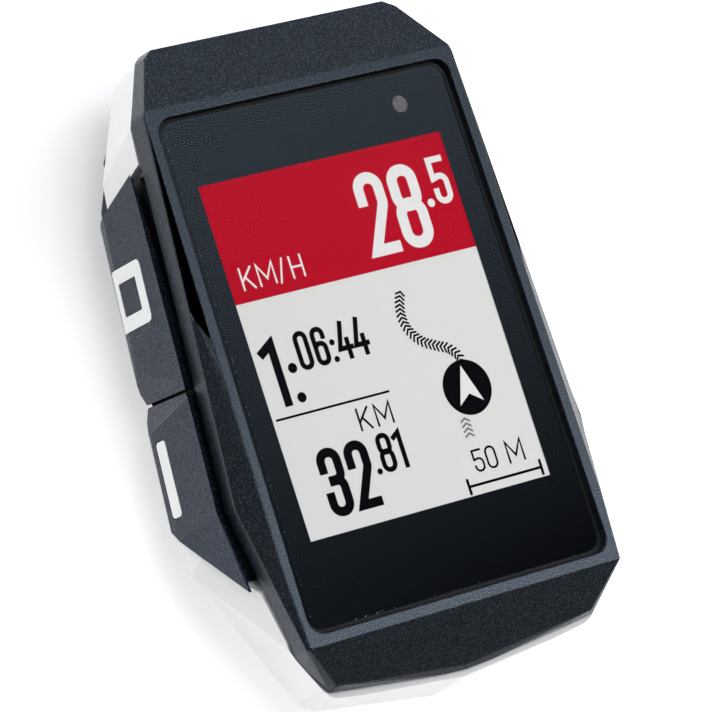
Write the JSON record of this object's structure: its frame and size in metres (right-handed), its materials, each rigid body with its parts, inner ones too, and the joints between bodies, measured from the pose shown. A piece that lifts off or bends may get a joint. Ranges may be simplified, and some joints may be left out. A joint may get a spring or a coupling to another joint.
{
  "type": "cycling computer",
  "caption": "Handlebar cycling computer: faceted case, portrait screen, side buttons and a quarter-turn foot.",
  "frame": {"origin": "middle of the object's footprint, on the flat end of the quarter-turn foot that it stands on", "axes": "+X to the rider's right, +Y towards the top of the screen, +Z out of the screen"},
  "size_m": [0.0434, 0.0658, 0.0186],
  "materials": {
    "dark_shell": "fine spark texture",
    "white_shell": "satin white",
    "button_shell": "fine spark texture",
    "white_mark": "satin white inlay",
    "cover_glass": "polished cover lens",
    "black_tape": "black foam tape",
    "display_glass": "lit screen",
    "light_diffuser": "white diffuser",
    "sensor_window": "tinted clear plastic",
    "steel": "tin-plated sheet",
    "screw_steel": "blackened steel screw",
    "circuit_board": "green solder mask",
    "flex_circuit": "amber polyimide",
    "chip_plastic": "black epoxy",
    "connector_plastic": "natural nylon",
    "antenna_ceramic": "bare ceramic",
    "battery_foil": "foil pouch",
    "foam": "closed-cell foam",
    "silicone": "black silicone",
    "flap_rubber": "matt black rubber"
  },
  "bodies": {
    "case": {"front_housing": "dark_shell", "rear_cover": "dark_shell", "mount": "dark_shell", "mid_housing": "white_shell", "window_lens": "cover_glass", "window_tape": "black_tape", "lcd_panel": "display_glass", "lcd_backlight": "light_diffuser", "light_pipe": "sensor_window", "lcd_frame": "steel", "shield_can": "steel", "radio_module": "steel", "usb_socket": "steel", "switch_left_upper": "steel", "switch_left_lower": "steel", "switch_right_upper": "steel", "switch_right_lower": "steel", "case_screw_1": "screw_steel", "case_screw_2": "screw_steel", "case_screw_3": "screw_steel", "case_screw_4": "screw_steel", "mount_screw_left": "screw_steel", "mount_screw_right": "screw_steel", "main_board": "circuit_board", "lcd_flex": "flex_circuit", "battery_lead": "flex_circuit", "light_sensor": "chip_plastic", "barometer_sensor": "chip_plastic", "buzzer": "chip_plastic", "battery_connector": "connector_plastic", "gps_antenna": "antenna_ceramic", "battery_cell": "battery_foil", "battery_pad": "foam", "vent_membrane": "foam", "front_gasket": "silicone", "rear_gasket": "silicone", "membrane_left": "silicone", "membrane_right": "silicone"},
    "left_upper_button": {"button_left_upper": "button_shell", "mark_left_upper": "white_mark"},
    "left_lower_button": {"button_left_lower": "button_shell", "mark_left_lower": "white_mark"},
    "right_upper_button": {"button_right_upper": "button_shell", "mark_right_upper": "white_mark"},
    "right_lower_button": {"button_right_lower": "button_shell", "mark_right_lower": "white_mark"},
    "flap": {"usb_cover": "flap_rubber"}
  },
  "joints": [
    {"name": "left_upper_press", "type": "slide", "parent": "case", "child": "left_upper_button", "axis": [1, 0, 0], "range_m": [0, 0.0005], "stiffness_N_per_m": 1000},
    {"name": "left_lower_press", "type": "slide", "parent": "case", "child": "left_lower_button", "axis": [1, 0, 0], "range_m": [0, 0.0005], "stiffness_N_per_m": 1000},
    {"name": "right_upper_press", "type": "slide", "parent": "case", "child": "right_upper_button", "axis": [-1, 0, 0], "range_m": [0, 0.0005], "stiffness_N_per_m": 1000},
    {"name": "right_lower_press", "type": "slide", "parent": "case", "child": "right_lower_button", "axis": [-1, 0, 0], "range_m": [0, 0.0005], "stiffness_N_per_m": 1000},
    {"name": "flap_hinge", "type": "hinge", "parent": "case", "child": "flap", "pos_m": [0, -0.01925, 0.004], "axis": [1, 0, 0], "range_deg": [0, 100]}
  ]
}
